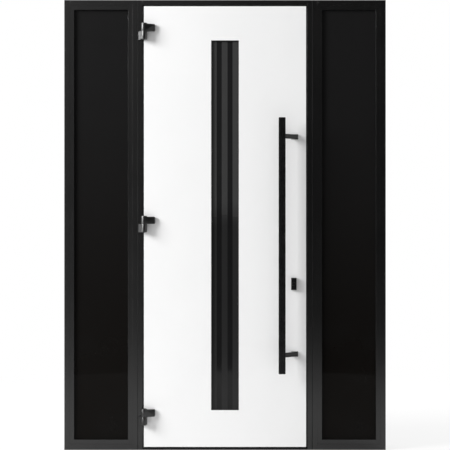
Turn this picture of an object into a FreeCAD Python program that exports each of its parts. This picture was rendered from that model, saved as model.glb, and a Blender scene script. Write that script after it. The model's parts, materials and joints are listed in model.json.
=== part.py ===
"""Front entrance door with a fixed glazed sidelight on each side.

Millimetres. X runs to the right as seen from outside, Y runs into the building and Z is up.
The origin is the middle of the door unit's underside, half way through the frame's depth.
"""
import FreeCAD, Part
import os

# Whole frame
overall_height = 2134.0
frame_depth = 110.0
door_unit_width = 828.0
sidelight_width = 348.0

# Door jambs and head
jamb_face = 23.0
flange_rebate_depth = 24.0
flange_overlap_step = 10.0
stop_step = 18.0
stop_depth = 35.0

# Threshold
threshold_front_height = 6.0
threshold_height = 18.0

# Door leaf
leaf_edge_gap = 6.5
leaf_bottom = 14.5
leaf_flange_inset = 14.0
leaf_bottom_inset = 10.0
outer_panel_thickness = 18.0
core_thickness = 44.0
inner_panel_thickness = 8.0

# Glass strip in the leaf
strip_width = 131.0
strip_from_leaf_bottom = 174.5
strip_from_leaf_top = 162.0
strip_trim_width = 4.0
strip_trim_depth = 6.0
strip_glass_thickness = 42.0
strip_glass_edge_gap = 1.0

# Sidelight frame and glazing
sidelight_face = 25.0
sidelight_bottom_face = 28.0
bead_width = 21.0
bead_depth = 9.0
bead_set_back = 1.0
sidelight_glass_thickness = 44.0
sidelight_glass_edge_gap = 5.0

# Screw holes through the outer stiles into the wall
wall_screw_radius = 4.0
wall_screw_count = 4
wall_screw_from_end = 167.0

# Hinges
hinge_from_leaf_bottom = 145.5
hinge_from_leaf_top = 121.0
hinge_axis_inset = 2.0
knuckle_radius = 14.0
knuckle_face_gap = 1.0
leaf_knuckle_height = 37.0
frame_knuckle_height = 38.0
knuckle_end_gap = 0.5
leaf_wing_reach = 50.5
leaf_wing_height = 33.5
leaf_wing_end_thickness = 11.0
leaf_wing_crest_side = 4.8
leaf_wing_corner = 4.0
frame_wing_reach = 28.5
frame_wing_height = 39.0
frame_wing_crest_out = 20.0
frame_wing_crest_side = 13.0
frame_wing_edge_gap = 0.5
hinge_pin_radius = 7.0
hinge_pin_length = 30.0
hinge_pin_clearance = 0.05
hinge_pin_end_gap = 0.5

# Pull bars, outside and repeated inside
pull_bar_length = 1200.0
pull_bar_bottom = 370.0
pull_bar_width = 32.0
pull_bar_thickness = 20.0
pull_bar_from_lock_edge = 117.2
pull_bar_finger_room = 50.0
pull_stand_inset = 85.0
pull_arm_height = 22.0
pull_foot_offset = 63.0
pull_foot_width = 31.0
pull_foot_height = 23.0
pull_foot_thickness = 6.0

# Lock
lock_height = 788.0
lock_from_lock_edge = 58.5
escutcheon_width = 25.0
escutcheon_height = 57.0
escutcheon_thickness = 12.0
cylinder_radius = 8.5
cylinder_clearance = 0.3
cylinder_proud = 1.0
faceplate_width = 20.0
faceplate_length = 240.0
faceplate_thickness = 3.0
faceplate_rise = 40.0
strike_length = 200.0
strike_thickness = 2.5
strike_window_width = 12.0
strike_window_height = 36.0
strike_window_spacing = 75.0
strike_pocket_depth = 14.0

# Worked-out places
frame_front = -frame_depth / 2
frame_back = frame_depth / 2
unit_half = door_unit_width / 2
overall_half = unit_half + sidelight_width
rebate_back = frame_front + flange_rebate_depth
stop_front = frame_back - stop_depth

leaf_half = unit_half - jamb_face - leaf_edge_gap
leaf_top = overall_height - jamb_face - leaf_edge_gap
leaf_front = frame_front
core_front = leaf_front + outer_panel_thickness
core_back = core_front + core_thickness
leaf_back = core_back + inner_panel_thickness
body_half = leaf_half - leaf_flange_inset
body_bottom = leaf_bottom + leaf_bottom_inset
body_top = leaf_top - leaf_flange_inset

strip_bottom = leaf_bottom + strip_from_leaf_bottom
strip_top = leaf_top - strip_from_leaf_top

hinge_axis_x = -leaf_half + hinge_axis_inset
hinge_axis_y = leaf_front - knuckle_face_gap - knuckle_radius
hinge_bottom_height = leaf_bottom + hinge_from_leaf_bottom
hinge_top_height = leaf_top - hinge_from_leaf_top
hinge_middle_height = (hinge_bottom_height + hinge_top_height) / 2

pull_bar_x = leaf_half - pull_bar_from_lock_edge
lock_x = leaf_half - lock_from_lock_edge
faceplate_y = (core_front + core_back) / 2

# Depth zones of the door frame: front, back, and how far the member reaches in from the unit's edge
flange_reach = jamb_face
body_reach = flange_reach + flange_overlap_step
stop_reach = body_reach + stop_step
door_frame_zones = (
    (frame_front, rebate_back, flange_reach),
    (rebate_back, stop_front, body_reach),
    (stop_front, frame_back, stop_reach),
)

# The sidelight's glass sits between the beads in front and the frame's own lip behind
bead_front = frame_front + bead_set_back
bead_back = bead_front + bead_depth
lip_front = bead_back + sidelight_glass_thickness


def block(low, high):
    """A box between two opposite corners."""
    size = [high[i] - low[i] for i in range(3)]
    return Part.makeBox(*size, FreeCAD.Vector(*low))


def prism_up(points, bottom, height):
    """A plan outline of (x, y) points carried up from a height."""
    corners = [FreeCAD.Vector(x, y, bottom) for x, y in points]
    face = Part.Face(Part.makePolygon(corners + corners[:1]))
    return face.extrude(FreeCAD.Vector(0, 0, height))


def prism_back(points, front, depth):
    """An elevation outline of (x, z) points carried into the building from a depth."""
    corners = [FreeCAD.Vector(x, front, z) for x, z in points]
    face = Part.Face(Part.makePolygon(corners + corners[:1]))
    return face.extrude(FreeCAD.Vector(0, depth, 0))


def fused(shapes):
    """One solid from several that meet, with the seams between them removed."""
    return shapes[0].multiFuse(shapes[1:]).removeSplitter()


def across(shape):
    """The mirror image on the other side of the door's centre line."""
    return shape.mirror(FreeCAD.Vector(0, 0, 0), FreeCAD.Vector(1, 0, 0))


def through_leaf(shape):
    """The mirror image on the other face of the leaf."""
    middle = FreeCAD.Vector(0, (leaf_front + leaf_back) / 2, 0)
    return shape.mirror(middle, FreeCAD.Vector(0, 1, 0))


def door_jamb():
    """The stepped jamb on the hinge side, from the floor to the top."""
    steps = [
        block((-unit_half, front, 0), (-unit_half + reach, back, overall_height))
        for front, back, reach in door_frame_zones
    ]
    return fused(steps)


def door_head():
    """The stepped head between the jambs."""
    steps = []
    for front, back, reach in door_frame_zones:
        half = unit_half - reach
        steps.append(block((-half, front, overall_height - reach), (half, back, overall_height)))
    return fused(steps)


def threshold():
    """The low threshold between the jambs, with a raised back part that the leaf's flange covers."""
    steps = []
    for front, back, reach in door_frame_zones:
        half = unit_half - reach
        top = threshold_front_height if front == frame_front else threshold_height
        steps.append(block((-half, front, 0), (half, back, top)))
    return fused(steps)


def strike_windows(depth):
    """The two bolt windows of the strike plate, cut this deep into the lock jamb."""
    face = unit_half - body_reach
    middle = lock_height + faceplate_rise
    windows = []
    for side in (-1, 1):
        z = middle + side * strike_window_spacing / 2
        low = (face, faceplate_y - strike_window_width / 2, z - strike_window_height / 2)
        high = (face + depth, faceplate_y + strike_window_width / 2, z + strike_window_height / 2)
        windows.append(block(low, high))
    return Part.makeCompound(windows)


def strike_recess():
    """The shallow recess in the lock jamb that the strike plate fills."""
    face = unit_half - body_reach
    middle = lock_height + faceplate_rise
    low = (face, faceplate_y - faceplate_width / 2, middle - strike_length / 2)
    high = (face + strike_thickness, faceplate_y + faceplate_width / 2, middle + strike_length / 2)
    return block(low, high)


def sidelight_zones(face):
    """Depth zones of a sidelight member with this face width."""
    return ((frame_front, lip_front, face), (lip_front, frame_back, face + bead_width))


def sidelight_frame():
    """The four members of the left sidelight, by name."""
    left = -overall_half
    right = -unit_half
    outer = []
    inner = []
    head = []
    bottom = []
    bottom_zones = sidelight_zones(sidelight_bottom_face)
    for zone, (front, back, reach) in enumerate(sidelight_zones(sidelight_face)):
        outer.append(block((left, front, 0), (left + reach, back, overall_height)))
        inner.append(block((right - reach, front, 0), (right, back, overall_height)))
        span = (left + reach, right - reach)
        head.append(block((span[0], front, overall_height - reach), (span[1], back, overall_height)))
        bottom.append(block((span[0], front, 0), (span[1], back, bottom_zones[zone][2])))
    return {
        "outer_stile": fused(outer).cut(wall_screw_holes()),
        "inner_stile": fused(inner),
        "head_rail": fused(head),
        "bottom_rail": fused(bottom),
    }


def wall_screw_holes():
    """A line of screw holes through the left outer stile, hidden behind the edge of the glass."""
    drills = []
    middle = (bead_back + lip_front) / 2
    spacing = (overall_height - 2 * wall_screw_from_end) / (wall_screw_count - 1)
    for number in range(wall_screw_count):
        start = FreeCAD.Vector(-overall_half, middle, wall_screw_from_end + number * spacing)
        drills.append(Part.makeCylinder(wall_screw_radius, sidelight_face, start, FreeCAD.Vector(1, 0, 0)))
    return Part.makeCompound(drills)


def sidelight_beads():
    """The four mitred glazing beads of the left sidelight, by name."""
    x0 = -overall_half + sidelight_face
    x1 = -unit_half - sidelight_face
    z0 = sidelight_bottom_face
    z1 = overall_height - sidelight_face
    w = bead_width
    outlines = {
        "bead_outer": ((x0, z0), (x0 + w, z0 + w), (x0 + w, z1 - w), (x0, z1)),
        "bead_inner": ((x1, z0), (x1, z1), (x1 - w, z1 - w), (x1 - w, z0 + w)),
        "bead_top": ((x0, z1), (x0 + w, z1 - w), (x1 - w, z1 - w), (x1, z1)),
        "bead_bottom": ((x0, z0), (x1, z0), (x1 - w, z0 + w), (x0 + w, z0 + w)),
    }
    return {name: prism_back(points, bead_front, bead_depth) for name, points in outlines.items()}


def sidelight_glass():
    """The left sidelight's sealed glass unit."""
    side = sidelight_face + sidelight_glass_edge_gap
    low = (-overall_half + side, bead_back, sidelight_bottom_face + sidelight_glass_edge_gap)
    high = (-unit_half - side, lip_front, overall_height - side)
    return block(low, high)


def strip_opening(front, back, margin):
    """The glass strip's opening between two depths, made smaller all round by a margin."""
    half = strip_width / 2 - margin
    low = (-half, front, strip_bottom + margin)
    high = (half, back, strip_top - margin)
    return block(low, high)


def strip_trim(front, back):
    """A thin frame that lines the strip's opening between two depths."""
    return strip_opening(front, back, 0).cut(strip_opening(front, back, strip_trim_width))


def cylinder_rod(front, back, clearance):
    """The lock cylinder's round body between two depths, with a clearance for the holes it passes."""
    start = FreeCAD.Vector(lock_x, front, lock_height)
    return Part.makeCylinder(cylinder_radius + clearance, back - front, start, FreeCAD.Vector(0, 1, 0))


def leaf_layer(half, bottom, top, front, back):
    """One layer of the leaf, with the strip's opening and the cylinder's hole cut through it."""
    layer = block((-half, front, bottom), (half, back, top))
    layer = layer.cut(strip_opening(front, back, 0))
    return layer.cut(cylinder_rod(front, back, cylinder_clearance))


def faceplate_block(thickness):
    """The lock's faceplate in the edge of the leaf."""
    middle = lock_height + faceplate_rise
    low = (body_half - thickness, faceplate_y - faceplate_width / 2, middle - faceplate_length / 2)
    high = (body_half, faceplate_y + faceplate_width / 2, middle + faceplate_length / 2)
    return block(low, high)


def frame_hinge(height):
    """A hinge's lower part: the sloping wing on the jamb, the knuckle and the pin."""
    edge = -unit_half + jamb_face - frame_wing_edge_gap
    knuckle_base = FreeCAD.Vector(hinge_axis_x, hinge_axis_y, height - frame_knuckle_height)
    knuckle = Part.makeCylinder(knuckle_radius, frame_knuckle_height, knuckle_base)
    outline = (
        (hinge_axis_x - frame_wing_reach, frame_front),
        (hinge_axis_x - frame_wing_crest_side, frame_front - frame_wing_crest_out),
        (hinge_axis_x, hinge_axis_y),
        (edge, frame_front),
    )
    wing = prism_up(outline, height - frame_wing_height, frame_wing_height)
    pin = Part.makeCylinder(hinge_pin_radius, frame_knuckle_height + hinge_pin_length, knuckle_base)
    return fused([knuckle, wing, pin])


def is_wing_corner(edge):
    """True for an edge that runs straight from the face to the back at the far end of a leaf wing."""
    at_far_end = edge.CenterOfMass.x > hinge_axis_x + knuckle_radius
    return at_far_end and abs(edge.tangentAt(edge.FirstParameter).y) > 0.5


def leaf_hinge(height):
    """A hinge's upper part: the knuckle, bored for the pin, and the wing that slopes from it to the leaf."""
    bottom = height + knuckle_end_gap
    base = FreeCAD.Vector(hinge_axis_x, hinge_axis_y, bottom)
    knuckle = Part.makeCylinder(knuckle_radius, leaf_knuckle_height, base)
    wing_end = hinge_axis_x + leaf_wing_reach
    crest_out = (knuckle_radius**2 - leaf_wing_crest_side**2) ** 0.5
    outline = (
        (hinge_axis_x, hinge_axis_y),
        (hinge_axis_x + leaf_wing_crest_side, hinge_axis_y - crest_out),
        (wing_end, leaf_front - leaf_wing_end_thickness),
        (wing_end, leaf_front),
        (hinge_axis_x, leaf_front),
    )
    wing = prism_up(outline, bottom, leaf_wing_height)
    wing = wing.makeFillet(leaf_wing_corner, [edge for edge in wing.Edges if is_wing_corner(edge)])
    bore_length = hinge_pin_length - knuckle_end_gap + hinge_pin_end_gap
    bore = Part.makeCylinder(hinge_pin_radius + hinge_pin_clearance, bore_length, base)
    return fused([knuckle, wing]).cut(bore)


def pull_bar():
    """The outer pull bar, square-cut at both ends."""
    back = leaf_front - pull_bar_finger_room
    low = (pull_bar_x - pull_bar_width / 2, back - pull_bar_thickness, pull_bar_bottom)
    high = (pull_bar_x + pull_bar_width / 2, back, pull_bar_bottom + pull_bar_length)
    return block(low, high)


def pull_stand(height):
    """A stand of the outer pull bar: a foot on the leaf and an arm that slants to the bar's back."""
    foot_left = pull_bar_x + pull_foot_offset - pull_foot_width / 2
    foot_right = foot_left + pull_foot_width
    foot_front = leaf_front - pull_foot_thickness
    bar_back = leaf_front - pull_bar_finger_room
    foot = block(
        (foot_left, foot_front, height - pull_foot_height / 2),
        (foot_right, leaf_front, height + pull_foot_height / 2),
    )
    outline = (
        (foot_right, foot_front),
        (pull_bar_x + pull_bar_width / 2, bar_back),
        (pull_bar_x - pull_bar_width / 2, bar_back),
        (foot_left, foot_front),
    )
    arm = prism_up(outline, height - pull_arm_height / 2, pull_arm_height)
    return fused([foot, arm])


def escutcheon():
    """The outer escutcheon, with the cylinder's hole through it."""
    plate = block(
        (lock_x - escutcheon_width / 2, leaf_front - escutcheon_thickness, lock_height - escutcheon_height / 2),
        (lock_x + escutcheon_width / 2, leaf_front, lock_height + escutcheon_height / 2),
    )
    return plate.cut(cylinder_rod(leaf_front - escutcheon_thickness, leaf_front, cylinder_clearance))


def build():
    """Every piece by name."""
    parts = {}

    # Sidelights: the left one is built and the right one is its mirror image
    left = sidelight_frame()
    left.update(sidelight_beads())
    left["glass"] = sidelight_glass()
    for name, shape in left.items():
        parts["left_" + name] = shape
        parts["right_" + name] = across(shape)

    # Door frame
    parts["hinge_jamb"] = door_jamb()
    parts["lock_jamb"] = across(door_jamb()).cut(strike_recess()).cut(strike_windows(strike_pocket_depth))
    parts["door_head"] = door_head()
    parts["threshold"] = threshold()
    parts["strike_plate"] = strike_recess().cut(strike_windows(strike_thickness))

    # Hinges
    hinge_heights = {"top": hinge_top_height, "middle": hinge_middle_height, "bottom": hinge_bottom_height}
    for name, height in hinge_heights.items():
        parts["hinge_" + name + "_frame_part"] = frame_hinge(height)
        parts["hinge_" + name + "_leaf_part"] = leaf_hinge(height)

    # Leaf
    parts["leaf_outer_panel"] = leaf_layer(leaf_half, leaf_bottom, leaf_top, leaf_front, core_front)
    core = leaf_layer(body_half, body_bottom, body_top, core_front, core_back)
    parts["leaf_core"] = core.cut(faceplate_block(faceplate_thickness))
    parts["leaf_inner_panel"] = leaf_layer(body_half, body_bottom, body_top, core_back, leaf_back)
    glass_front = leaf_front + strip_trim_depth
    glass_back = glass_front + strip_glass_thickness
    parts["leaf_glass"] = strip_opening(glass_front, glass_back, strip_glass_edge_gap)
    parts["strip_outer_trim"] = strip_trim(leaf_front, glass_front)
    parts["strip_inner_trim"] = strip_trim(glass_back, leaf_back)
    parts["lock_faceplate"] = faceplate_block(faceplate_thickness)

    # Pull bars and escutcheons, outside and inside
    outside = {
        "pull_bar": pull_bar(),
        "pull_upper_stand": pull_stand(pull_bar_bottom + pull_bar_length - pull_stand_inset),
        "pull_lower_stand": pull_stand(pull_bar_bottom + pull_stand_inset),
        "escutcheon": escutcheon(),
    }
    for name, shape in outside.items():
        parts["outer_" + name] = shape
        parts["inner_" + name] = through_leaf(shape)
    proud = escutcheon_thickness + cylinder_proud
    parts["lock_cylinder"] = cylinder_rod(leaf_front - proud, leaf_back + proud, 0)
    return parts


def write(parts):
    """One STEP file for each piece."""
    os.makedirs("parts", exist_ok=True)
    for name, shape in sorted(parts.items()):
        solids = shape.Solids
        whole = solids[0] if len(solids) == 1 else Part.makeCompound(solids)
        whole.exportStep("parts/" + name + ".step")
        volume = sum(solid.Volume for solid in solids) / 1e9
        print(f"{name}: {len(solids)} solid, {volume:.6f} m3, valid {whole.isValid()}")


write(build())
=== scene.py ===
"""Looks of an entrance door with two sidelights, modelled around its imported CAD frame."""

import json
import math

import bmesh
import bpy
from bpy.props import FloatProperty, FloatVectorProperty, IntProperty, PointerProperty
from mathutils import Matrix, Vector


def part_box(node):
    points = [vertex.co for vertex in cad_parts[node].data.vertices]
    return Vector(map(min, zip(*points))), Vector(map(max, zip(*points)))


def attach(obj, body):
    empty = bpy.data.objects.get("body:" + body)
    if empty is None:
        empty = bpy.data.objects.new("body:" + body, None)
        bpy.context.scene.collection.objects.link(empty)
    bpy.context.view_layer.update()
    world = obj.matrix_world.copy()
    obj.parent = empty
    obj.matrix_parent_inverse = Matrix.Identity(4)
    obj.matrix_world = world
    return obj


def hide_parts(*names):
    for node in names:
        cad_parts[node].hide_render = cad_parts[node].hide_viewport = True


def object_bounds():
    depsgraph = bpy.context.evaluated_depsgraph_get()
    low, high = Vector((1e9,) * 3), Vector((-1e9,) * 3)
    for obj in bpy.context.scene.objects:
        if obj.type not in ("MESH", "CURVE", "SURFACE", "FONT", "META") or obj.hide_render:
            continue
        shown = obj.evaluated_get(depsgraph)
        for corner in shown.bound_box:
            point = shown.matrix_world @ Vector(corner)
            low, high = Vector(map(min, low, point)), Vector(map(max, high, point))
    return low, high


bl_info = {
    "name": "Door with sidelights",
    "version": (1, 0, 0),
    "blender": (4, 5, 0),
    "location": "View3D > Sidebar > Doorset",
    "description": "Finishes, seals, fixings and studio for a door with two sidelights",
    "category": "Object",
}

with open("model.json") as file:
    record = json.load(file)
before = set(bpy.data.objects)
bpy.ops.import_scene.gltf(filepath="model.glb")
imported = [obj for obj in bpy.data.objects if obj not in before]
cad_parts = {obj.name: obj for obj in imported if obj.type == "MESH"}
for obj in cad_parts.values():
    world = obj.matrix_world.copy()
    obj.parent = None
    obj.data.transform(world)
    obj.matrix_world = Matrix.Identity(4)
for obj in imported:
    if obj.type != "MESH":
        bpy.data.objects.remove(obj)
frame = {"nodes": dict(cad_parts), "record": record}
CAD_LOW, CAD_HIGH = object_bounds()

FRAME_BODY = "frame"
LEAF_BODY = "door_leaf"
SIDES = ("left", "right")
HINGES = ("top", "middle", "bottom")

# Places and sizes of the CAD that no node's box gives, in metres, in the same frame as the CAD.
STRIP_TRIM_WIDTH = 0.004
REBATE_STEP_Y = -0.031
REBATE_SIDE_X = 0.381
REBATE_TOP_Z = 2.101
STOP_FACE_Y = 0.020
STOP_SIDE_X = 0.363
STOP_TOP_Z = 2.083
STOP_BACK_Y = 0.055
SILL_BACK_Z = 0.018
KNUCKLE_RADIUS = 0.014
KNUCKLE_GAP = 0.0005
FRAME_KNUCKLE_HEIGHT = 0.038
FRAME_WING_HEIGHT = 0.039
LEAF_WING_HEIGHT = 0.0335
LEAF_WING_END = 0.011
FOOT_WIDTH = 0.031
FOOT_THICKNESS = 0.006
ARM_HEIGHT = 0.022
STRIKE_WINDOW_SPACING = 0.075
STRIKE_WINDOW_WIDTH = 0.012
STRIKE_WINDOW_HEIGHT = 0.036
STRIKE_POCKET_DEPTH = 0.014
WALL_SCREW_RADIUS = 0.004
WALL_SCREW_Y = -0.023
WALL_SCREW_HEIGHTS = (0.167, 0.767, 1.367, 1.967)

# Sizes and places of the fine pieces, in metres. FIT_ROOM lies between a piece and its hole.
FIT_ROOM = 0.0001
BUSH_THICKNESS = 0.0009
BUSH_LENGTH = 0.006
BUSH_INSET = 0.0004
JOINT_SEAL_THICKNESS = 0.0002
JOINT_SEAL_END_ROOM = 0.0005
STRIPES_MIDDLE_X = -0.0018
STRIP_TRIM_EDGE = 0.0008
STRIP_GASKET_WIDTH = 0.0016
STRIP_GASKET_DEPTH = 0.0014
STRIP_GASKET_EDGE = 0.0005
REBATE_SEAL_INSET = 0.0012
REBATE_SEAL_WIDTH = 0.006
STOP_SEAL_REACH = 0.0065
STOP_SEAL_WIDTH = 0.0055
STOP_SEAL_FOOT_ROOM = 0.0005
BELOW_FLOOR_Z = -0.05
LIP_PLACES = (0.008, 0.017, 0.026)
LIP_THICKNESS = 0.0025
LIP_END_ROOM = 0.003
RIBS_FRONT_ROOM = 0.006
RIBS_BACK_ROOM = 0.005
RIB_WIDTH = 0.002
RIB_END_ROOM = 0.002
RIB_ROOT = 0.0002
WASHER_INSET = 0.0008
WASHER_BORE = 0.0073
CAP_INSET = 0.0012
CAP_SCREW_HEIGHT = 0.0012
WING_SCREW_HEIGHT = 0.0006
FRAME_SCREW_ASIDE = 0.0165
FRAME_SCREW_AHEAD = 0.0095
LEAF_SCREW_RISE = 0.0075
BAR_CAP_INSET = 0.0002
BAR_CAP_RISE = 0.001
ARM_FOOT_INSET = 0.0003
ARM_BAR_INSET = 0.0006
ARM_SCREW_OUT = 0.012
ARM_SCREW_HEIGHT = 0.0005
PAD_MARGIN = 0.0007
PAD_THICKNESS = 0.0008
PLATE_EDGE = 0.0003
PLATE_SCREW_ROOM = 0.012
PLATE_SCREW_HEIGHT = 0.0004
PLUG_HEIGHT = 0.0006
ROLLER_RADIUS = 0.006
ROLLER_LENGTH = 0.022
BOLT_ROOT = 0.001
STRIKE_POCKET_WALL = 0.0006
STRIKE_POCKET_END_ROOM = 0.0002

# The rim and the plug on the cylinder's ends, in shares of its radius, the rim with heights.
RIM_PROFILE = ((0.70, 0), (0.92, 0), (0.90, 0.0004), (0.74, 0.0005))
PLUG_SHARE = 0.66

# Facets that turn by less are one face, edges that turn by more are broken, rounded or sharp.
FLAT_ANGLE = math.radians(1)
ROUNDED_ANGLE = math.radians(30)
SHARP_ANGLE = math.radians(35)

LAMP_AIM = (0.0, 0.0, 1.05)
SENSOR_WIDTH_MM = 36


# Sizes and colours that a user may change


class DoorsetSizes(bpy.types.PropertyGroup):
    """Sizes of the fine detail."""

    frame_edge: FloatProperty(
        name="Frame edge",
        description="Width of the broken edges of the frame's profiles",
        default=0.0003,
        min=0.0001,
        unit="LENGTH",
    )
    leaf_edge: FloatProperty(
        name="Leaf edge",
        description="Width of the rounded edges of the leaf",
        default=0.0012,
        min=0.0001,
        unit="LENGTH",
    )
    hardware_edge: FloatProperty(
        name="Hardware edge",
        description="Width of the rounded edges of hinges and stands",
        default=0.0011,
        min=0.0001,
        unit="LENGTH",
    )
    bar_edge: FloatProperty(
        name="Bar edge",
        description="Width of the rounded edges of the pull bars",
        default=0.0012,
        min=0.0001,
        unit="LENGTH",
    )
    arm_edge: FloatProperty(
        name="Stand edge",
        description="Width of the rounded long edges of the pull bars' stands",
        default=0.005,
        min=0.0001,
        unit="LENGTH",
    )
    # The joint seal is a sealant line and also painted shade for the joint's shaded groove.
    joint_width: FloatProperty(
        name="Joint seal",
        description="Width of the seal over the joint between door frame and sidelight",
        default=0.003,
        min=0.0005,
        unit="LENGTH",
    )
    gasket_width: FloatProperty(
        name="Gasket width",
        description="Visible width of the rubber between glass and bead",
        default=0.003,
        min=0.0005,
        unit="LENGTH",
    )
    seal_gap: FloatProperty(
        name="Seal gap",
        description="Room left between a door seal and the closed leaf",
        default=0.0012,
        min=0.0,
        unit="LENGTH",
    )
    screw_radius: FloatProperty(
        name="Screw head",
        description="Radius of the lock and strike screws' heads",
        default=0.0042,
        min=0.001,
        unit="LENGTH",
    )
    set_screw_radius: FloatProperty(
        name="Set screw",
        description="Radius of the set screws of hinges and pull bars",
        default=0.0026,
        min=0.001,
        unit="LENGTH",
    )
    roller_reach: FloatProperty(
        name="Latch roller",
        description="How far the latch roller stands out of the leaf's edge",
        default=0.005,
        min=0.0,
        unit="LENGTH",
    )
    rib_count: IntProperty(
        name="Sill ribs",
        description="Number of tread ribs on the inner part of the threshold",
        default=5,
        min=1,
    )
    rib_height: FloatProperty(
        name="Rib height",
        description="Height of the threshold's tread ribs",
        default=0.0008,
        min=0.0001,
        unit="LENGTH",
    )


class DoorsetColours(bpy.types.PropertyGroup):
    """Colours and gloss of the finishes."""

    frame: FloatVectorProperty(
        name="Frame",
        description="Powder coat of the frame and the sidelights",
        default=(0.0027, 0.0026, 0.0026),
        subtype="COLOR",
        min=0,
        max=1,
    )
    leaf: FloatVectorProperty(
        name="Leaf",
        description="Lacquer of the door leaf",
        default=(0.86, 0.86, 0.86),
        subtype="COLOR",
        min=0,
        max=1,
    )
    hardware: FloatVectorProperty(
        name="Hardware",
        description="Coating of the pull bars and escutcheons",
        default=(0.0042, 0.0042, 0.0043),
        subtype="COLOR",
        min=0,
        max=1,
    )
    hinge: FloatVectorProperty(
        name="Hinges",
        description="Coating of the hinges",
        default=(0.0034, 0.0034, 0.0035),
        subtype="COLOR",
        min=0,
        max=1,
    )
    glass: FloatVectorProperty(
        name="Sidelight glass",
        description="Tint of the sidelights' glass",
        default=(0.0072, 0.0071, 0.0072),
        subtype="COLOR",
        min=0,
        max=1,
    )
    strip: FloatVectorProperty(
        name="Strip glass",
        description="Tint of the clear stripes of the leaf's glass",
        default=(0.0085, 0.0085, 0.0088),
        subtype="COLOR",
        min=0,
        max=1,
    )
    etched: FloatVectorProperty(
        name="Etched stripes",
        description="Tone of the etched stripes of the leaf's glass",
        default=(0.037, 0.037, 0.037),
        subtype="COLOR",
        min=0,
        max=1,
    )
    rubber: FloatVectorProperty(
        name="Rubber",
        description="Gaskets and door seals",
        default=(0.0035, 0.0035, 0.0035),
        subtype="COLOR",
        min=0,
        max=1,
    )
    steel: FloatVectorProperty(
        name="Steel",
        description="Lock faceplate, strike plate and screws",
        default=(0.56, 0.56, 0.57),
        subtype="COLOR",
        min=0,
        max=1,
    )


class DoorsetStudio(bpy.types.PropertyGroup):
    """Camera, lamps and surroundings."""

    camera_distance: FloatProperty(
        name="Camera distance",
        description="From the frame's outside face to the camera",
        default=4.9,
        min=1,
        unit="LENGTH",
    )
    key_power: FloatProperty(
        name="Key lamp",
        description="Power of the tall soft lamp on the left",
        default=890,
        min=0,
        unit="POWER",
    )
    edge_power: FloatProperty(
        name="Edge lamp",
        description="Power of the lamp behind the door on the left, which lights left edges",
        default=35,
        min=0,
        unit="POWER",
    )
    back_power: FloatProperty(
        name="Back lamp",
        description="Power of the soft lamp behind the door",
        default=150,
        min=0,
        unit="POWER",
    )
    ambient: FloatProperty(
        name="Room light",
        description="Even light from all round on matt surfaces",
        default=0.32,
        min=0,
    )
    floor_radius: FloatProperty(
        name="Floor",
        description="Radius of the round floor",
        default=2.7,
        min=1,
        unit="LENGTH",
    )


def sizes():
    return bpy.context.scene.doorset_sizes


def colours():
    return bpy.context.scene.doorset_colours


def studio():
    return bpy.context.scene.doorset_studio


# Materials


class Signal:
    """A node's output. Arithmetic on it adds Math nodes."""

    def __init__(self, sheet, socket):
        self.sheet = sheet
        self.socket = socket

    def out(self, name):
        """Another output of the same node."""
        return Signal(self.sheet, self.socket.node.outputs[name])

    def math(self, operation, *values):
        return self.sheet.add(
            "ShaderNodeMath", {"operation": operation}, dict(enumerate(values))
        )

    def __add__(self, other):
        return self.math("ADD", self, other)

    def __radd__(self, other):
        return self.math("ADD", other, self)

    def __sub__(self, other):
        return self.math("SUBTRACT", self, other)

    def __rsub__(self, other):
        return self.math("SUBTRACT", other, self)

    def __mul__(self, other):
        return self.math("MULTIPLY", self, other)

    def __rmul__(self, other):
        return self.math("MULTIPLY", other, self)

    def __abs__(self):
        return self.math("ABSOLUTE", self)

    def step(self, start, end):
        """0 below start, 1 above end, smooth between."""
        return self.sheet.add(
            "ShaderNodeMapRange",
            {"interpolation_type": "SMOOTHSTEP"},
            {0: self, 1: start, 2: end, 3: 0.0, 4: 1.0},
        )


class Sheet:
    """The node tree of one material or of the world."""

    def __init__(self, owner):
        owner.use_nodes = True
        self.tree = owner.node_tree
        self.tree.nodes.clear()

    def add(self, kind, settings=None, sockets=None):
        """Adds a node, sets it up, fills its sockets and returns its first output."""
        node = self.tree.nodes.new(kind)
        for name, value in (settings or {}).items():
            setattr(node, name, value)
        for name, value in (sockets or {}).items():
            if isinstance(value, Signal):
                self.tree.links.new(value.socket, node.inputs[name])
            else:
                node.inputs[name].default_value = value
        return Signal(self, node.outputs[0]) if node.outputs else None

    def place(self, stretch=(1, 1, 1)):
        """The point on the object, with its axes stretched."""
        point = self.add("ShaderNodeTexCoord").out("Object")
        return self.add("ShaderNodeMapping", {}, {"Vector": point, "Scale": stretch})

    def axes(self, point):
        """The three parts of a vector."""
        parts = self.add("ShaderNodeSeparateXYZ", {}, {"Vector": point})
        return parts.out("X"), parts.out("Y"), parts.out("Z")

    def noise(self, point, scale, detail=2.0, roughness=0.5):
        return self.add(
            "ShaderNodeTexNoise",
            {},
            {"Vector": point, "Scale": scale, "Detail": detail, "Roughness": roughness},
        )

    def mix(self, share, first, second):
        """A blend of two colours."""
        node = self.add(
            "ShaderNodeMix", {"data_type": "RGBA"}, {0: share, 6: first, 7: second}
        )
        return Signal(self, node.socket.node.outputs[2])

    def tones(self, share, colour, darker, lighter):
        """A blend of a darker and a lighter shade of one colour."""
        return self.mix(share, shade(colour, darker), shade(colour, lighter))

    def bump(self, height, distance):
        return self.add(
            "ShaderNodeBump",
            {},
            {"Height": height, "Distance": distance, "Strength": 1.0},
        )

    def surface(self, **sockets):
        """The shader that ends the tree, its sockets named with _ for a space."""
        named = {name.replace("_", " "): value for name, value in sockets.items()}
        shader = self.add("ShaderNodeBsdfPrincipled", {}, named)
        self.add("ShaderNodeOutputMaterial", {}, {"Surface": shader})


def shade(colour, share=1.0):
    """A colour with its alpha, made lighter or darker."""
    return (*(min(1.0, part * share) for part in colour), 1.0)


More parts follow.
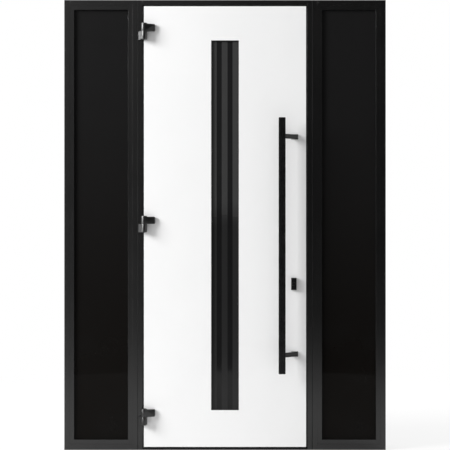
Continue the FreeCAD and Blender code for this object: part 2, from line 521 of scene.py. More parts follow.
def powder_coat(sheet):
    """Satin black powder coat with a fine even grain."""
    colour = colours().frame
    place = sheet.place()
    grain = sheet.noise(place, 900, 1)
    cloud = sheet.noise(place, 7, 3)
    base = sheet.tones(cloud.step(0.3, 0.7), colour, 0.9, 1.15)
    sheet.surface(
        Base_Color=sheet.mix(grain.step(0.55, 0.8) * 0.3, base, shade(colour, 1.5)),
        Roughness=0.21 + cloud * 0.05 + grain * 0.03,
        Normal=sheet.bump(grain, 0.000006),
        Specular_IOR_Level=0.62,
    )


def lacquer(sheet):
    """White lacquer with a faint orange peel."""
    place = sheet.place()
    peel = sheet.noise(place, 260, 2)
    wave = sheet.noise(place, 22, 2)
    cloud = sheet.noise(place, 3.2, 3)
    sheet.surface(
        Base_Color=sheet.tones(cloud.step(0.3, 0.7), colours().leaf, 0.99, 1.006),
        Roughness=0.40 + peel * 0.05 + cloud * 0.04,
        Normal=sheet.bump(peel + wave * 0.8, 0.00003),
    )


def black_hardware(sheet):
    """Satin black coating over metal that was brushed lengthwise."""
    brushed = sheet.noise(sheet.place((1, 1, 0.02)), 1500, 2)
    place = sheet.place()
    cloud = sheet.noise(place, 18, 3)
    sheet.surface(
        Base_Color=sheet.tones(cloud.step(0.3, 0.7), colours().hardware, 0.85, 1.25),
        Roughness=0.22 + cloud * 0.05 + brushed * 0.06,
        Normal=sheet.bump(brushed, 0.00001),
        Specular_IOR_Level=0.25,
    )


def hinge_coat(sheet):
    """Black coating of the hinges, glossier than that of the pull bars, with a fine grain."""
    place = sheet.place()
    grain = sheet.noise(place, 1300, 2)
    cloud = sheet.noise(place, 26, 3)
    sheet.surface(
        Base_Color=sheet.tones(cloud.step(0.3, 0.7), colours().hinge, 0.85, 1.2),
        Roughness=0.28 + cloud * 0.05 + grain * 0.05,
        Normal=sheet.bump(grain, 0.000008),
        Specular_IOR_Level=0.62,
    )


def brushed_steel(sheet):
    """Steel brushed along its length."""
    brushed = sheet.noise(sheet.place((1, 1, 0.015)), 2200, 3)
    cloud = sheet.noise(sheet.place(), 30, 2)
    sheet.surface(
        Base_Color=sheet.tones(brushed, colours().steel, 0.8, 1.1),
        Metallic=1.0,
        Roughness=0.24 + brushed * 0.16 + cloud * 0.06,
        Normal=sheet.bump(brushed, 0.00003),
    )


def rubber(sheet):
    """Matt black rubber with a dusty bloom."""
    place = sheet.place()
    grain = sheet.noise(place, 1900, 2)
    bloom = sheet.noise(place, 35, 3).step(0.45, 0.75)
    sheet.surface(
        Base_Color=sheet.tones(bloom * 0.5, colours().rubber, 1.0, 2.0),
        Roughness=0.66 + grain * 0.14,
        Normal=sheet.bump(grain, 0.00006),
        Specular_IOR_Level=0.25,
    )


def tinted_glass(sheet):
    """Polished dark glass, faintly seen through, with a painted reflection: greyer at the top and
    darker and warmer low down.
    """
    colour = colours().glass
    place = sheet.place()
    height = sheet.axes(place)[2]
    haze = sheet.noise(place, 5, 4, 0.6)
    red, green, blue = colour
    # Painted reflection: the glass's colour goes from darker and warmer near the floor to lighter
    # and greyer at the top.
    painted_low_reflection = shade((red * 0.75, green * 0.65, blue * 0.55))
    painted_reflection_tint = sheet.mix(height.step(0.1, 2.0), painted_low_reflection, shade(colour, 1.75))
    sheet.surface(
        Base_Color=sheet.mix(haze.step(0.45, 0.8) * 0.3, painted_reflection_tint, shade(colour, 1.3)),
        Roughness=0.02 + haze * 0.03,
        Transmission_Weight=0.15,
        IOR=1.12,
    )


def striped_glass(sheet):
    """Dark glass with three etched upright stripes and two clear ones between them, both made
    lighter above about 1.1 m as a painted reflection.
    """
    place = sheet.place()
    across, _, height = sheet.axes(place)
    off_centre = abs(across - STRIPES_MIDDLE_X)
    middle = 1 - off_centre.step(0.0125, 0.0150)
    outer = off_centre.step(0.0365, 0.0388)
    # Painted reflection: the etched and the clear stripes are darker below about 1.1 m and lighter
    # above it.
    upper = height.step(1.05, 1.19)
    etched = (middle * 0.9 + outer) * (0.36 + upper * 0.64)
    frost = sheet.noise(place, 2600, 1)
    haze = sheet.noise(place, 6, 3)
    clear = sheet.tones(haze * 0.5 + upper * 0.5, colours().strip, 0.6, 1.5)
    frosted = sheet.tones(frost, colours().etched, 0.85, 1.15)
    sheet.surface(
        Base_Color=sheet.mix(etched, clear, frosted),
        Roughness=0.04 + etched * 0.38 + haze * 0.03,
        Specular_IOR_Level=0.2,
        IOR=1.52,
    )


FINISHES = {
    "frame_black": powder_coat,
    "leaf_white": lacquer,
    "hardware_black": black_hardware,
    "hinge_black": hinge_coat,
    "lock_steel": brushed_steel,
    "glazing_seal": rubber,
    "sidelight_glass": tinted_glass,
    "strip_glass": striped_glass,
}


def finish(slot):
    """The material of a slot, made when it is first asked for."""
    name = "finish_" + slot
    found = bpy.data.materials.get(name)
    if found is None:
        found = bpy.data.materials.new(name)
        FINISHES[slot](Sheet(found))
    return found


# Shapes


def block(bm, low, high):
    """Adds a block between two corners."""
    low, high = Vector(low), Vector(high)
    place = Matrix.Translation((low + high) / 2) @ Matrix.Diagonal((*(high - low), 1))
    bmesh.ops.create_cube(bm, size=1, matrix=place)


def disc(bm, foot, radius, depth, segments, end_radius=None):
    """Adds an upright cylinder or cone, whose base has its middle at foot."""
    bmesh.ops.create_cone(
        bm,
        cap_ends=True,
        segments=segments,
        radius1=radius,
        radius2=radius if end_radius is None else end_radius,
        depth=depth,
        matrix=Matrix.Translation((foot[0], foot[1], foot[2] + depth / 2)),
    )


def extrude(bm, faces, move):
    """Pulls faces out by a vector. They also stay behind, as the other end."""
    grown = bmesh.ops.extrude_face_region(bm, geom=faces, use_keep_orig=True)["geom"]
    verts = [part for part in grown if isinstance(part, bmesh.types.BMVert)]
    bmesh.ops.translate(bm, verts=verts, vec=move)


def ring(bm, outline, width, front, back):
    """Adds the outer wall of an upright rectangular ring, whose outline is (x, z, x, z).

    The inset by width moves nothing, because the new face has no normal yet, so the ring has
    no inner wall and no front. middle.normal_update() before the inset would mend it.
    """
    x0, z0, x1, z1 = outline
    corners = [bm.verts.new((x, front, z)) for x, z in ((x0, z0), (x1, z0), (x1, z1), (x0, z1))]
    middle = bm.faces.new(corners)
    rim = bmesh.ops.inset_region(
        bm, faces=[middle], thickness=width, use_boundary=True, use_even_offset=True
    )["faces"]
    bmesh.ops.delete(bm, geom=[middle], context="FACES_ONLY")
    extrude(bm, rim, (0, back - front, 0))


def bevel(bm, edges, width, segments, clamp=True):
    """Rounds edges, less than asked for with clamp where they would meet."""
    bmesh.ops.bevel(
        bm,
        geom=edges,
        offset=width,
        segments=segments,
        profile=0.5,
        affect="EDGES",
        material=-1,
        clamp_overlap=clamp,
    )


def round_edges(bm, width, segments=2):
    """Rounds every edge that turns by more than ROUNDED_ANGLE."""
    inner = [edge for edge in bm.edges if len(edge.link_faces) == 2]
    bevel(bm, [edge for edge in inner if edge.calc_face_angle() > ROUNDED_ANGLE], width, segments)


def cut_away(bm, point, normal):
    """Removes what lies on the side of the plane that normal points to, and closes the cut."""
    cut = bmesh.ops.bisect_plane(
        bm,
        geom=bm.verts[:] + bm.edges[:] + bm.faces[:],
        plane_co=point,
        plane_no=normal,
        clear_outer=True,
    )
    edges = [part for part in cut["geom_cut"] if isinstance(part, bmesh.types.BMEdge)]
    bmesh.ops.holes_fill(bm, edges=edges, sides=0)


def added(bm, before):
    """The vertices made since before was listed."""
    return [vert for vert in bm.verts if vert not in before]


def faces_of(verts):
    return {face for vert in verts for face in vert.link_faces}


def turned(bm, profile, place, segments=32):
    """Adds a profile of (radius, height) points spun round Z, and puts it in its place.

    A profile that starts on the axis makes a solid, and any other one closes into a ring.
    """
    before = set(bm.verts)
    points = [bm.verts.new((radius, 0, height)) for radius, height in profile]
    pairs = list(zip(points, points[1:]))
    if profile[0][0] > 0:
        pairs.append((points[-1], points[0]))
    lines = [bm.edges.new(pair) for pair in pairs]
    bmesh.ops.spin(
        bm,
        geom=points + lines,
        cent=(0, 0, 0),
        axis=(0, 0, 1),
        angle=math.tau,
        steps=segments,
        use_merge=True,
    )
    bmesh.ops.transform(bm, matrix=place, verts=added(bm, before))


def socket_screw(bm, radius, height, place):
    """Adds a low round screw head with a hexagon socket, which sink leaves covered.

    It is made facing +Z, then put in its place.
    """
    before = set(bm.verts)
    disc(bm, (0, 0, 0), radius, height, 24, radius * 0.9)
    top = max(faces_of(added(bm, before)), key=lambda face: face.calc_center_median().z)
    bmesh.ops.inset_region(bm, faces=[top], thickness=radius * 0.36, use_boundary=True)
    for vert in top.verts:
        turn = math.atan2(vert.co.y, vert.co.x) % math.radians(60) - math.radians(30)
        vert.co.xy = vert.co.xy.normalized() * radius * 0.46 / math.cos(turn)
    sink(bm, [top], height * 0.8)
    bmesh.ops.transform(bm, matrix=place, verts=added(bm, before))


def sink(bm, faces, depth):
    """Presses faces that look up into the shape.

    As they also stay behind, they cover the hollow. Deleting them would open it.
    """
    extrude(bm, faces, (0, 0, -depth))


def key_slot(bm, radius, height, place):
    """Adds a round plug with an upright slot pressed into it, which sink leaves covered.

    It is made facing +Z, then put in its place.
    """
    before = set(bm.verts)
    disc(bm, (0, 0, 0), radius, height, 32)
    wide, tall = radius * 0.17, radius * 0.72
    sides = (((1, 0, 0), wide), ((-1, 0, 0), wide), ((0, 1, 0), tall), ((0, -1, 0), tall))
    for normal, reach in sides:
        made = added(bm, before)
        edges = {edge for vert in made for edge in vert.link_edges}
        bmesh.ops.bisect_plane(
            bm,
            geom=[*made, *edges, *faces_of(made)],
            plane_co=Vector(normal) * reach,
            plane_no=normal,
        )
    slot = []
    for face in faces_of(added(bm, before)):
        middle = face.calc_center_median()
        if abs(middle.x) < wide and abs(middle.y) < tall and middle.z > height * 0.99:
            slot.append(face)
    sink(bm, slot, height * 0.9)
    bmesh.ops.transform(bm, matrix=place, verts=added(bm, before))


def facing(point, direction):
    """The place of a shape that was made at the origin facing +Z."""
    turn = Vector((0, 0, 1)).rotation_difference(Vector(direction)).to_matrix().to_4x4()
    return Matrix.Translation(Vector(point)) @ turn


def settle(name, bm, body, slot):
    """Makes the shape an object that rides on a body and has its slot's finish."""
    bmesh.ops.remove_doubles(bm, verts=bm.verts, dist=1e-7)
    bmesh.ops.recalc_face_normals(bm, faces=bm.faces)
    mesh = bpy.data.meshes.new(name)
    bm.to_mesh(mesh)
    bm.free()
    mesh.shade_smooth()
    mesh.set_sharp_from_angle(angle=SHARP_ANGLE)
    mesh.materials.append(finish(slot))
    piece = bpy.data.objects.new(name, mesh)
    bpy.context.scene.collection.objects.link(piece)
    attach(piece, body)
    return piece


def dress(node, edge_width, segments=2):
    """Gives a CAD node its slot's finish, and breaks its sharp edges with modifiers."""
    parts = frame["record"]["subparts"]
    slot = next(part["material_slot"] for part in parts if part["node"] == node)
    piece = frame["nodes"][node]
    piece.data.materials.clear()
    piece.data.materials.append(finish(slot))
    if edge_width:
        weld = piece.modifiers.new("joined_facets", "WELD")
        weld.merge_threshold = 1e-6
        whole = piece.modifiers.new("whole_faces", "DECIMATE")
        whole.decimate_type = "DISSOLVE"
        whole.angle_limit = FLAT_ANGLE
        broken = piece.modifiers.new("broken_edges", "BEVEL")
        broken.width = edge_width
        broken.segments = segments
        broken.limit_method = "ANGLE"
        broken.angle_limit = SHARP_ANGLE
        broken.harden_normals = True


def nodes_of(*starts):
    """The CAD nodes whose names start with one of these."""
    return [name for name in frame["nodes"] if name.startswith(starts)]


# Pieces


class DOORSET_OT_frame(bpy.types.Operator):
    """Powder coat and broken edges on the frame's profiles, bushes in the fixing holes"""

    bl_idname = "doorset.frame"
    bl_label = "Frame profiles"

    def execute(self, context):
        ends = ("stile", "rail", "jamb", "head")
        for node in frame["nodes"]:
            if node.endswith(ends):
                dress(node, sizes().frame_edge)
        for node in nodes_of("left_bead", "right_bead"):
            dress(node, sizes().frame_edge)
        self.make_joint_seals_and_painted_groove_shade()
        self.make_fixing_bushes()
        return {"FINISHED"}

    def make_joint_seals_and_painted_groove_shade(self):
        """Thin flat black seals over the joints between door frame and sidelights, on both faces:
        a sealant line that is also painted shade for the shaded groove of the joint.
        """
        low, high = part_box("hinge_jamb")
        half = sizes().joint_width / 2
        foot, head = low.z + JOINT_SEAL_END_ROOM, high.z - JOINT_SEAL_END_ROOM
        bm = bmesh.new()
        for joint in (low.x, -low.x):
            for face, outward in ((low.y, -1), (high.y, 1)):
                depths = sorted((face, face + outward * JOINT_SEAL_THICKNESS))
                block(bm, (joint - half, depths[0], foot), (joint + half, depths[1], head))
        settle("unit_joint_seals_and_painted_groove_shade", bm, FRAME_BODY, "glazing_seal")

    def make_fixing_bushes(self):
        """Thin bushes just inside the mouths of the screw holes to the wall."""
        outer = WALL_SCREW_RADIUS - FIT_ROOM
        inner = outer - BUSH_THICKNESS
        profile = ((inner, 0), (outer, 0), (outer, BUSH_LENGTH), (inner, BUSH_LENGTH))
        for side, inward in (("left", 1), ("right", -1)):
            low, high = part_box(side + "_outer_stile")
            mouth = (low.x if side == "left" else high.x) + inward * BUSH_INSET
            bm = bmesh.new()
            for height in WALL_SCREW_HEIGHTS:
                place = facing((mouth, WALL_SCREW_Y, height), (inward, 0, 0))
                turned(bm, profile, place, 24)
            settle(side + "_fixing_bushes", bm, FRAME_BODY, "glazing_seal")


class DOORSET_OT_sidelights(bpy.types.Operator):
    """Tinted glass and its gaskets, on both faces of both sidelights"""

    bl_idname = "doorset.sidelights"
    bl_label = "Sidelight glazing"

    def execute(self, context):
        width = sizes().gasket_width
        for side in SIDES:
            dress(side + "_glass", 0)
            glass_low, glass_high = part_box(side + "_glass")
            beads = [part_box(f"{side}_bead_{end}") for end in ("outer", "inner")]
            left_bead, right_bead = sorted(beads, key=lambda box: box[0].x)
            outline = (
                left_bead[1].x,
                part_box(side + "_bead_bottom")[1].z,
                right_bead[0].x,
                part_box(side + "_bead_top")[0].z,
            )
            for face, front, back in (
                ("outer", glass_low.y - width, glass_low.y),
                ("inner", glass_high.y, glass_high.y + width),
            ):
                bm = bmesh.new()
                ring(bm, outline, width, front, back)
                round_edges(bm, width * 0.3)
                settle(f"{side}_glass_gasket_{face}", bm, FRAME_BODY, "glazing_seal")
        return {"FINISHED"}


class DOORSET_OT_leaf(bpy.types.Operator):
    """White lacquer and rounded edges on the leaf"""

    bl_idname = "doorset.leaf"
    bl_label = "Leaf"

    def execute(self, context):
        for node in nodes_of("leaf_outer", "leaf_core", "leaf_inner"):
            dress(node, sizes().leaf_edge)
        return {"FINISHED"}


class DOORSET_OT_strip(bpy.types.Operator):
    """Striped glass of the leaf, its trims and its gaskets"""

    bl_idname = "doorset.strip"
    bl_label = "Strip glazing"

    def execute(self, context):
        dress("leaf_glass", 0)
        glass_low, glass_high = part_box("leaf_glass")
        inset = STRIP_TRIM_WIDTH
        for face, front, back in (
            ("outer", glass_low.y - STRIP_GASKET_DEPTH, glass_low.y),
            ("inner", glass_high.y, glass_high.y + STRIP_GASKET_DEPTH),
        ):
            dress(f"strip_{face}_trim", STRIP_TRIM_EDGE)
            low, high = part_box(f"strip_{face}_trim")
            outline = (low.x + inset, low.z + inset, high.x - inset, high.z - inset)
            bm = bmesh.new()
            ring(bm, outline, STRIP_GASKET_WIDTH, front, back)
            round_edges(bm, STRIP_GASKET_EDGE)
            settle(f"strip_gasket_{face}", bm, LEAF_BODY, "glazing_seal")
        return {"FINISHED"}


class DOORSET_OT_seals(bpy.types.Operator):
    """Rubber seals in the frame's rebate and on its stop, and the lips under the leaf"""

    bl_idname = "doorset.seals"
    bl_label = "Door seals"

    def execute(self, context):
        self.make_rebate_seal()
        self.make_stop_seal()
        self.make_bottom_lips()
        return {"FINISHED"}

    def make_rebate_seal(self):
        """A ring on the rebate's step, that ends just short of the outer panel's lap."""
        inset, width = REBATE_SEAL_INSET, REBATE_SEAL_WIDTH
        lap_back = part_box("leaf_core")[0].y
        outline = (
            -REBATE_SIDE_X - inset - width,
            SILL_BACK_Z - inset - width,
            REBATE_SIDE_X + inset + width,
            REBATE_TOP_Z + inset + width,
        )
        bm = bmesh.new()
        ring(bm, outline, width, lap_back + sizes().seal_gap, REBATE_STEP_Y)
        round_edges(bm, 0.0018, 3)
        settle("rebate_seal", bm, FRAME_BODY, "glazing_seal")

    def make_stop_seal(self):
        """A three-sided seal on the stop, which stands on the threshold, behind the leaf."""
        reach = STOP_SEAL_REACH
        leaf_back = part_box("leaf_inner_panel")[1].y
        outline = (-STOP_SIDE_X - reach, BELOW_FLOOR_Z, STOP_SIDE_X + reach, STOP_TOP_Z + reach)
        bm = bmesh.new()
        ring(bm, outline, STOP_SEAL_WIDTH, leaf_back + sizes().seal_gap, STOP_FACE_Y)
        round_edges(bm, 0.0014, 3)
        cut_away(bm, (0, 0, SILL_BACK_Z + STOP_SEAL_FOOT_ROOM), (0, 0, -1))
        settle("stop_seal", bm, FRAME_BODY, "glazing_seal")

    def make_bottom_lips(self):
        """Lips that hang from the core and end just short of the threshold."""
        core_low, core_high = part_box("leaf_core")
        foot = SILL_BACK_Z + sizes().seal_gap
        bm = bmesh.new()
        for place in LIP_PLACES:
            front = core_low.y + place
            block(
                bm,
                (core_low.x + LIP_END_ROOM, front, foot),
                (core_high.x - LIP_END_ROOM, front + LIP_THICKNESS, core_low.z),
            )
        round_edges(bm, 0.0006)
        settle("leaf_bottom_seal", bm, LEAF_BODY, "glazing_seal")


class DOORSET_OT_threshold(bpy.types.Operator):
    """Threshold with its tread ribs"""

    bl_idname = "doorset.threshold"
    bl_label = "Threshold"

    def execute(self, context):
        dress("threshold", sizes().frame_edge)
        start, end = STOP_FACE_Y + RIBS_FRONT_ROOM, STOP_BACK_Y - RIBS_BACK_ROOM
        side = STOP_SIDE_X - RIB_END_ROOM
        count = sizes().rib_count
        bm = bmesh.new()
        for number in range(count):
            y = start + (end - start - RIB_WIDTH) * number / max(1, count - 1)
            block(
                bm,
                (-side, y, SILL_BACK_Z - RIB_ROOT),
                (side, y + RIB_WIDTH, SILL_BACK_Z + sizes().rib_height),
            )
        round_edges(bm, 0.0003)
        settle("threshold_ribs", bm, FRAME_BODY, "frame_black")
        return {"FINISHED"}


class DOORSET_OT_hinges(bpy.types.Operator):
    """Coated hinges with their washers, caps and set screws"""

    bl_idname = "doorset.hinges"
    bl_label = "Hinges"

    def execute(self, context):
        washers, upper_caps, lower_caps = bmesh.new(), bmesh.new(), bmesh.new()
        leaf_screws, frame_screws = bmesh.new(), bmesh.new()
        leaf_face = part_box("leaf_outer_panel")[0].y
        screw = sizes().set_screw_radius
        wide = KNUCKLE_RADIUS - WASHER_INSET
        under, over = FIT_ROOM, KNUCKLE_GAP - FIT_ROOM
        washer = ((WASHER_BORE, under), (wide, under), (wide, over), (WASHER_BORE, over))
        rim = wide - CAP_INSET
        cap = ((0, 0), (rim, 0), (rim, 0.0007), (rim - 0.0012, 0.0012), (0, 0.0013))
        up, down = (0, 0, 1), (0, 0, -1)
        for hinge in HINGES:
            dress(f"hinge_{hinge}_frame_part", sizes().hardware_edge)
            dress(f"hinge_{hinge}_leaf_part", sizes().hardware_edge)
            low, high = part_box(f"hinge_{hinge}_leaf_part")
            pin = Vector((low.x + KNUCKLE_RADIUS, low.y + KNUCKLE_RADIUS, low.z - KNUCKLE_GAP))
            foot = pin.z - FRAME_KNUCKLE_HEIGHT
            turned(washers, washer, Matrix.Translation(pin))
            turned(upper_caps, cap, facing((pin.x, pin.y, high.z), up))
            turned(lower_caps, cap, facing((pin.x, pin.y, foot), down))
            place = facing((pin.x, pin.y, foot - CAP_SCREW_HEIGHT), down)
            socket_screw(frame_screws, screw * 1.5, CAP_SCREW_HEIGHT, place)
            aside, ahead = pin.x - FRAME_SCREW_ASIDE, leaf_face - FRAME_SCREW_AHEAD
            place = facing((aside, ahead, pin.z - FRAME_WING_HEIGHT), down)
            socket_screw(frame_screws, screw, WING_SCREW_HEIGHT, place)
            middle = low.z + LEAF_WING_HEIGHT / 2
            for height in (middle - LEAF_SCREW_RISE, middle + LEAF_SCREW_RISE):
                place = facing((high.x, leaf_face - LEAF_WING_END / 2, height), (1, 0, 0))
                socket_screw(leaf_screws, screw, WING_SCREW_HEIGHT, place)
        settle("hinge_washers", washers, FRAME_BODY, "glazing_seal")
        settle("hinge_upper_caps", upper_caps, LEAF_BODY, "hinge_black")
        settle("hinge_lower_caps", lower_caps, FRAME_BODY, "hinge_black")
        settle("hinge_wing_screws", leaf_screws, LEAF_BODY, "hinge_black")
        settle("hinge_adjusting_screws", frame_screws, FRAME_BODY, "hinge_black")
        return {"FINISHED"}


class DOORSET_OT_pulls(bpy.types.Operator):
    """Pull bars with their end caps, stands, foot pads and set screws"""

    bl_idname = "doorset.pulls"
    bl_label = "Pull bars"

    def execute(self, context):
        for face, outward in (("outer", -1), ("inner", 1)):
            dress(face + "_pull_bar", sizes().bar_edge, 3)
            self.make_end_caps(face)
            pads, screws = bmesh.new(), bmesh.new()
            for stand in ("upper", "lower"):
                self.make_stand(face, outward, stand, pads, screws)
            round_edges(pads, 0.0002)
            settle(face + "_stand_pads", pads, LEAF_BODY, "glazing_seal")
            settle(face + "_stand_screws", screws, LEAF_BODY, "lock_steel")
        return {"FINISHED"}

    def make_end_caps(self, face):
        """A thin cap on each end of the bar, inside its rounded edges."""
        low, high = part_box(face + "_pull_bar")
        inset = sizes().bar_edge + BAR_CAP_INSET
        bm = bmesh.new()
        for under, over in ((low.z - BAR_CAP_RISE, low.z), (high.z, high.z + BAR_CAP_RISE)):
            block(
                bm,
                (low.x + inset, low.y + inset, under),
                (high.x - inset, high.y - inset, over),
            )
        round_edges(bm, 0.0004)
        settle(face + "_bar_end_caps", bm, LEAF_BODY, "hardware_black")

    def make_stand(self, face, outward, stand, pads, screws):
        """A slanting arm on a square foot, in place of the node, and its pad and set screw."""
        node = f"{face}_pull_{stand}_stand"
        low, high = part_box(node)
        bar_low, bar_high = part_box(face + "_pull_bar")
        leaf_face, bar_back = (high.y, bar_high.y) if outward < 0 else (low.y, bar_low.y)
        foot_front = leaf_face + outward * FOOT_THICKNESS
        foot_side = high.x - FOOT_WIDTH
        under = (low.z + high.z - ARM_HEIGHT) / 2
        bm = self.arm(
            (
                (high.x - ARM_FOOT_INSET, foot_front),
                (bar_high.x - ARM_BAR_INSET, bar_back),
                (bar_low.x + ARM_BAR_INSET, bar_back),
                (foot_side + ARM_FOOT_INSET, foot_front),
            ),
            under,
        )
        foot = bmesh.new()
        near, far = sorted((leaf_face, foot_front))
        block(foot, (foot_side, near, low.z), (high.x, far, high.z))
        round_edges(foot, 0.0014, 3)
        carried = bpy.data.meshes.new("foot")
        foot.to_mesh(carried)
        foot.free()
        bm.from_mesh(carried)
        bpy.data.meshes.remove(carried)
        piece = settle(f"{face}_{stand}_stand_shape", bm, LEAF_BODY, "hardware_black")
        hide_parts(node)

        edge = PAD_MARGIN
        near, far = sorted((leaf_face, leaf_face + outward * PAD_THICKNESS))
        block(pads, (foot_side - edge, near, low.z - edge), (high.x + edge, far, high.z + edge))
        spot = (high.x - FOOT_WIDTH * 0.78, leaf_face + outward * ARM_SCREW_OUT, under)
        place = facing(spot, (0, 0, -1))
        socket_screw(screws, sizes().set_screw_radius, ARM_SCREW_HEIGHT, place)

    def arm(self, plan, under):
        """A new shape with a four-sided plan, raised to an arm whose long edges are rounded."""
        bm = bmesh.new()
        base = bm.faces.new([bm.verts.new((x, y, under)) for x, y in plan])
        extrude(bm, [base], (0, 0, ARM_HEIGHT))
        spans = {edge: abs(edge.verts[0].co.x - edge.verts[1].co.x) for edge in bm.edges}
        long_edges = [edge for edge, span in spans.items() if span > FOOT_WIDTH * 1.6]
        bmesh.ops.recalc_face_normals(bm, faces=bm.faces)
        bevel(bm, long_edges, sizes().arm_edge, 5, clamp=False)
        return bm


class DOORSET_OT_lock(bpy.types.Operator):
    """Escutcheons, cylinder with a keyway, faceplate with roller and bolt, strike plate"""

    bl_idname = "doorset.lock"
    bl_label = "Lock"

    def execute(self, context):
        for node in ("outer_escutcheon", "inner_escutcheon", "lock_cylinder"):
            dress(node, sizes().hardware_edge * 0.7)
        for node in ("lock_faceplate", "strike_plate"):
            dress(node, PLATE_EDGE)
        self.make_cylinder_faces()
        self.make_roller_and_bolt()
        self.make_plate_screws("faceplate_screws", "lock_faceplate", LEAF_BODY, 1)
        self.make_plate_screws("strike_screws", "strike_plate", FRAME_BODY, -1)
        self.make_strike_pockets()
        return {"FINISHED"}

    def make_cylinder_faces(self):
        """A raised rim and a plug with a keyway on both ends of the cylinder."""
        low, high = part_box("lock_cylinder")
        middle = (low + high) / 2
        radius = (high.x - low.x) / 2
        rim = [(radius * share, height) for share, height in RIM_PROFILE]
        rims, plugs = bmesh.new(), bmesh.new()
        for depth, outward in ((low.y, -1), (high.y, 1)):
            place = facing((middle.x, depth, middle.z), (0, outward, 0))
            turned(rims, rim, place, 48)
            key_slot(plugs, radius * PLUG_SHARE, PLUG_HEIGHT, place)
        settle("cylinder_rims", rims, LEAF_BODY, "hardware_black")
        settle("cylinder_plugs", plugs, LEAF_BODY, "hardware_black")

    def make_roller_and_bolt(self):
        """The latch's roller with the block that holds it, and the flush end of the bolt."""
        low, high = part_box("lock_faceplate")
        middle = (low + high) / 2
        face = high.x
        roller_z = middle.z + STRIKE_WINDOW_SPACING / 2
        bolt_z = middle.z - STRIKE_WINDOW_SPACING / 2
        bm = bmesh.new()
        axis_x = face + sizes().roller_reach - ROLLER_RADIUS
        foot = (axis_x, middle.y, roller_z - ROLLER_LENGTH / 2)
        disc(bm, foot, ROLLER_RADIUS, ROLLER_LENGTH, 40)
        round_edges(bm, 0.0008)
        settle("latch_roller", bm, LEAF_BODY, "lock_steel")
        bm = bmesh.new()
        for z, half_width, half_height, proud in (
            (roller_z, 0.0072, 0.0135, 0.0009),
            (bolt_z, 0.0055, 0.015, 0.0012),
        ):
            block(
                bm,
                (face - BOLT_ROOT, middle.y - half_width, z - half_height),
                (face + proud, middle.y + half_width, z + half_height),
            )
        round_edges(bm, 0.0004)
        settle("bolt_ends", bm, LEAF_BODY, "lock_steel")

    def make_plate_screws(self, name, node, body, outward):
        """Three screws down the middle of a plate, on its side towards outward in X."""
        low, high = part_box(node)
        middle = (low + high) / 2
        face = high.x if outward > 0 else low.x
        bm = bmesh.new()
        for height in (low.z + PLATE_SCREW_ROOM, middle.z, high.z - PLATE_SCREW_ROOM):
            place = facing((face, middle.y, height), (outward, 0, 0))
            socket_screw(bm, sizes().screw_radius, PLATE_SCREW_HEIGHT, place)
        settle(name, bm, body, "lock_steel")

    def make_strike_pockets(self):
        """Thin open boxes behind the two windows of the strike plate."""
        low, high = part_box("strike_plate")
        middle = (low + high) / 2
        wide = STRIKE_WINDOW_WIDTH / 2 - FIT_ROOM
        tall = STRIKE_WINDOW_HEIGHT / 2 - FIT_ROOM
        mouth = high.x + FIT_ROOM
        end = low.x + STRIKE_POCKET_DEPTH - STRIKE_POCKET_END_ROOM
        bm = bmesh.new()
        for way in (-1, 1):
            height = middle.z + way * STRIKE_WINDOW_SPACING / 2
            block(
                bm,
                (mouth, middle.y - wide, height - tall),
                (end, middle.y + wide, height + tall),
            )
        mouths = [face for face in bm.faces if face.calc_center_median().x < mouth + 0.001]
        bmesh.ops.delete(bm, geom=mouths, context="FACES_ONLY")
        bmesh.ops.recalc_face_normals(bm, faces=bm.faces)
        bmesh.ops.solidify(bm, geom=bm.faces[:], thickness=STRIKE_POCKET_WALL)
        settle("strike_pockets", bm, FRAME_BODY, "glazing_seal")


# Studio


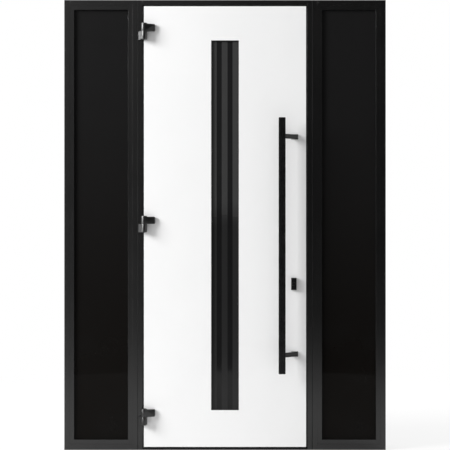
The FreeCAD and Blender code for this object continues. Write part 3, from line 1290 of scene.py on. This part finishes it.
class DOORSET_OT_stage(bpy.types.Operator):
    """Floor, lamps, surroundings and camera"""

    bl_idname = "doorset.stage"
    bl_label = "Studio"

    def execute(self, context):
        scene = context.scene
        scene.view_settings.view_transform = "Standard"
        self.make_floor()
        self.make_world(scene)
        self.make_lamp("key_lamp", (-6.2, -2.45, 3.9), (2.3, 3.4), studio().key_power)
        self.make_lamp("edge_lamp", (-3.2, 0.7, 2.4), (1.0, 1.6), studio().edge_power)
        back = self.make_lamp("back_lamp", (2.6, 3.2, 2.3), (2.0, 2.0), studio().back_power)
        back.visible_glossy = False
        self.make_camera(scene)
        return {"FINISHED"}

    def make_floor(self):
        """A pale floor that the camera sees fade to plain white at its rim, with its shadows."""
        radius = studio().floor_radius
        bm = bmesh.new()
        bmesh.ops.create_circle(bm, cap_ends=True, radius=radius, segments=96)
        mesh = bpy.data.meshes.new("studio_floor")
        bm.to_mesh(mesh)
        bm.free()
        floor = bpy.data.objects.new("studio_floor", mesh)
        bpy.context.scene.collection.objects.link(floor)
        material = bpy.data.materials.new("studio_floor")
        mesh.materials.append(material)
        sheet = Sheet(material)
        length = sheet.add("ShaderNodeVectorMath", {"operation": "LENGTH"}, {0: sheet.place()})
        rim = length.out("Value").step(radius * 0.45, radius * 0.97)
        rays = sheet.add("ShaderNodeLightPath")
        seen = rays.out("Is Camera Ray") + rays.out("Is Transmission Ray")
        share = seen * (0.8 + rim * 0.2)
        matt = sheet.add("ShaderNodeBsdfDiffuse", {}, {"Color": shade((0.72, 0.72, 0.72))})
        white = sheet.add("ShaderNodeEmission", {}, {"Color": (1, 1, 1, 1), "Strength": 1.0})
        mixed = sheet.add("ShaderNodeMixShader", {}, {0: share, 1: matt, 2: white})
        sheet.add("ShaderNodeOutputMaterial", {}, {"Surface": mixed})

    def make_world(self, scene):
        """A white studio, plain white to the camera and through glass.

        Matt surfaces are lit from all round, most from the left, and gloss shows a dim wall ahead.
        """
        world = bpy.data.worlds.new("studio_world")
        scene.world = world
        world.cycles.sampling_method = "NONE"
        sheet = Sheet(world)
        rays = sheet.add("ShaderNodeLightPath")
        across, along, up = sheet.axes(sheet.add("ShaderNodeTexCoord").out("Generated"))
        down, left, front = 0 - up, 0 - across, 0 - along
        # What lights matt surfaces, with some light back from the floor.
        room = studio().ambient * (1 - across * 0.6) * (0.65 + abs(up) * 0.8)
        room = room + down.step(0, 0.3) * 0.22
        # What gloss shows: a wall ahead, dim on the right and brighter above and below,
        wall = 0.014 + 0.29 * (1 - across.step(-0.42, 0.08))
        wall = wall * (1 + up.step(0.06, 0.3) * 3.2 + down.step(0.02, 0.2) * 4.0)
        # a bright panel low on the far left, and brighter walls on the far right.
        panel = left.step(0.74, 0.84) * front.step(0.05, 0.15) * (1 - up.step(0, 0.35)) * 8
        around = 0.3
        gloss = around + (wall - around) * front.step(0.5, 0.8) + panel
        gloss = gloss + across.step(0.76, 0.95) * 1.5
        lit = room + (gloss - room) * rays.out("Is Glossy Ray")
        seen = rays.out("Is Camera Ray") + rays.out("Is Transmission Ray")
        strength = lit + (1 - lit) * seen
        colour = (1, 1, 1, 1)
        light = sheet.add("ShaderNodeBackground", {}, {"Color": colour, "Strength": strength})
        sheet.add("ShaderNodeOutputWorld", {}, {"Surface": light})

    def make_lamp(self, name, place, size, power):
        """A soft lamp that points at LAMP_AIM and isn't seen itself."""
        data = bpy.data.lights.new(name, "AREA")
        data.shape = "RECTANGLE"
        data.size, data.size_y = size
        data.energy = power
        lamp = bpy.data.objects.new(name, data)
        bpy.context.scene.collection.objects.link(lamp)
        aim = Vector(LAMP_AIM) - Vector(place)
        lamp.location = place
        lamp.rotation_euler = aim.to_track_quat("-Z", "Y").to_euler()
        lamp.visible_camera = False
        lamp.visible_transmission = False
        return lamp

    def make_camera(self, scene):
        """A level camera before the middle of the frame, which fills the picture's height."""
        data = bpy.data.cameras.new("camera")
        camera = bpy.data.objects.new("camera", data)
        scene.collection.objects.link(camera)
        distance = studio().camera_distance
        face_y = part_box("hinge_jamb")[0].y
        height = CAD_HIGH.z - CAD_LOW.z
        data.sensor_width = SENSOR_WIDTH_MM
        data.lens = data.sensor_width * distance / height
        camera.location = (0, face_y - distance, CAD_LOW.z + height / 2)
        camera.rotation_euler = (math.radians(90), 0, 0)
        scene.camera = camera


OPERATORS = (
    DOORSET_OT_frame,
    DOORSET_OT_sidelights,
    DOORSET_OT_leaf,
    DOORSET_OT_strip,
    DOORSET_OT_seals,
    DOORSET_OT_threshold,
    DOORSET_OT_hinges,
    DOORSET_OT_pulls,
    DOORSET_OT_lock,
    DOORSET_OT_stage,
)


class DOORSET_PT_panel(bpy.types.Panel):
    """Pieces of the door and its sidelights"""

    bl_idname = "DOORSET_PT_panel"
    bl_label = "Door with sidelights"
    bl_space_type = "VIEW_3D"
    bl_region_type = "UI"
    bl_category = "Doorset"

    def draw(self, context):
        for group in (sizes(), colours(), studio()):
            for name in group.__annotations__:
                self.layout.prop(group, name)
        for operator in OPERATORS:
            self.layout.operator(operator.bl_idname)


CLASSES = (DoorsetSizes, DoorsetColours, DoorsetStudio, *OPERATORS, DOORSET_PT_panel)


def register():
    for item in CLASSES:
        bpy.utils.register_class(item)
    bpy.types.Scene.doorset_sizes = PointerProperty(type=DoorsetSizes)
    bpy.types.Scene.doorset_colours = PointerProperty(type=DoorsetColours)
    bpy.types.Scene.doorset_studio = PointerProperty(type=DoorsetStudio)


def unregister():
    del bpy.types.Scene.doorset_studio
    del bpy.types.Scene.doorset_colours
    del bpy.types.Scene.doorset_sizes
    for item in reversed(CLASSES):
        bpy.utils.unregister_class(item)


def main():
    register()
    for operator in OPERATORS:
        getattr(bpy.ops.doorset, operator.bl_idname.split(".")[1])()


if __name__ == "__main__":
    main()
